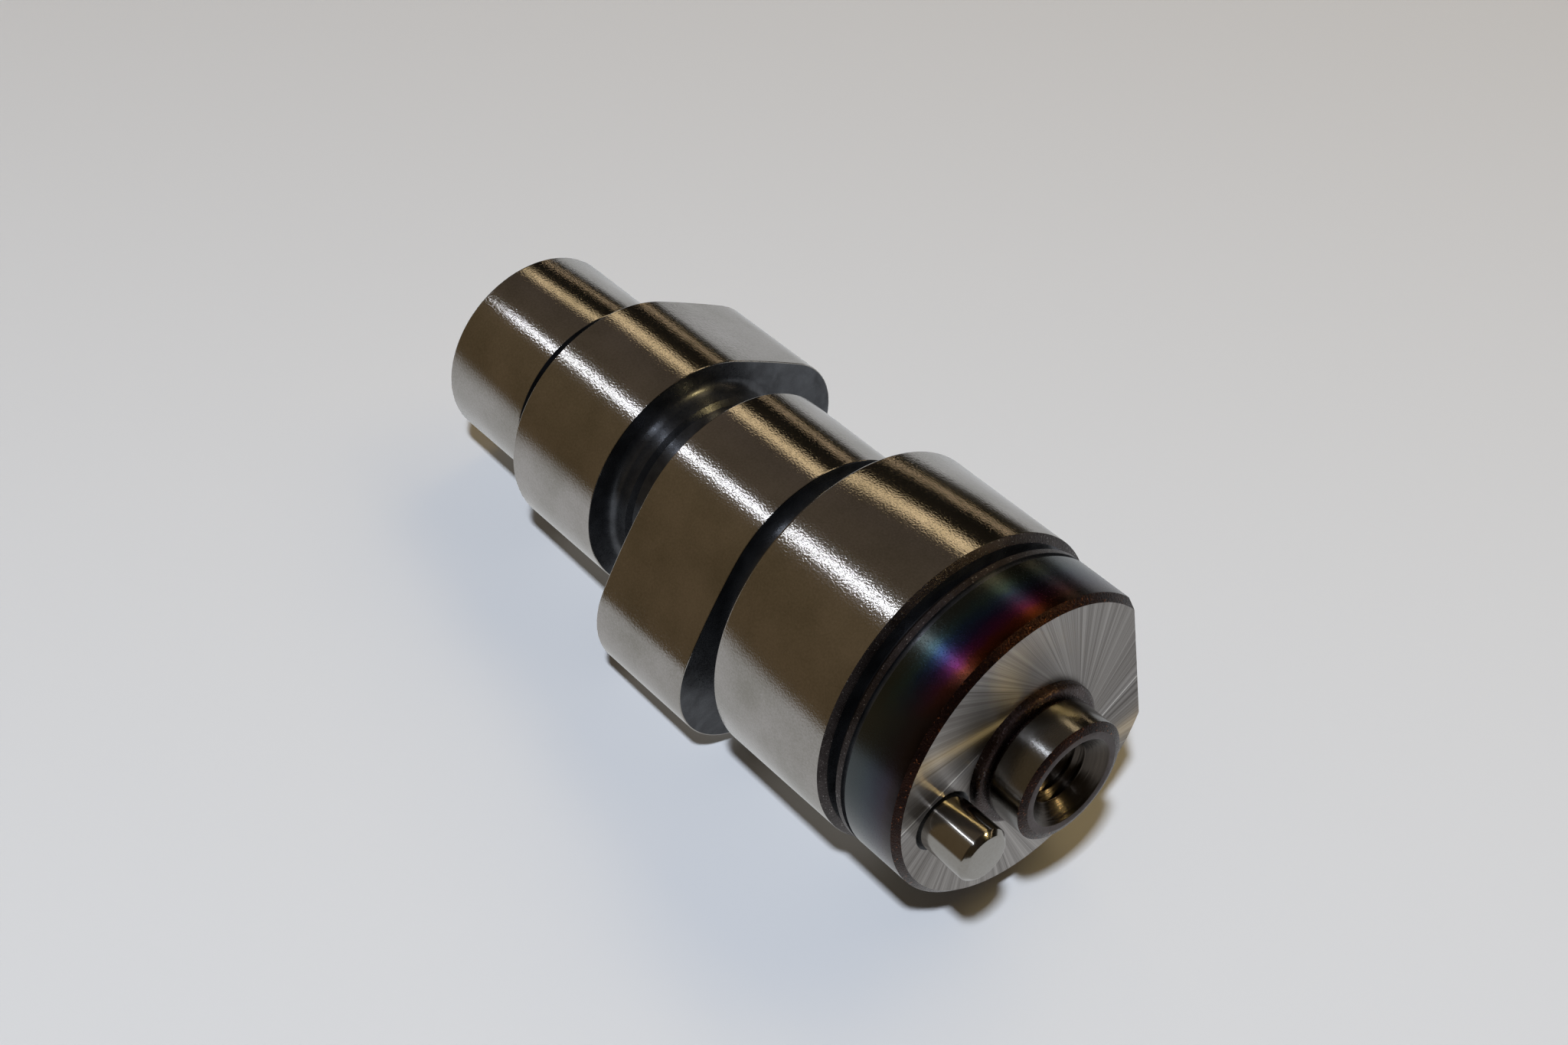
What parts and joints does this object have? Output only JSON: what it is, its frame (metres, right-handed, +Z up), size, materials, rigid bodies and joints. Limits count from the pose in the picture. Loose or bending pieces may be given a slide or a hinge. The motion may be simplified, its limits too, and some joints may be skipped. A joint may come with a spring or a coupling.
{
  "type": "camshaft",
  "caption": "Short one-piece camshaft with ground lobes, plain journals and a drive flange whose hollow nose and dowel pin locate a camwheel.",
  "frame": {"origin": "middle of the front journal, on the shaft's axis", "axes": "+Z up along the shaft, from the rear end that it stands on to the nose; -Y towards the dowel"},
  "size_m": [0.036, 0.0386, 0.0876],
  "materials": {
    "ground_steel": "ground and polished, dark warm grey",
    "dowel_steel": "polished"
  },
  "bodies": {
    "root": {"camshaft": "ground_steel", "dowel_pin": "dowel_steel"}
  },
  "joints": []
}
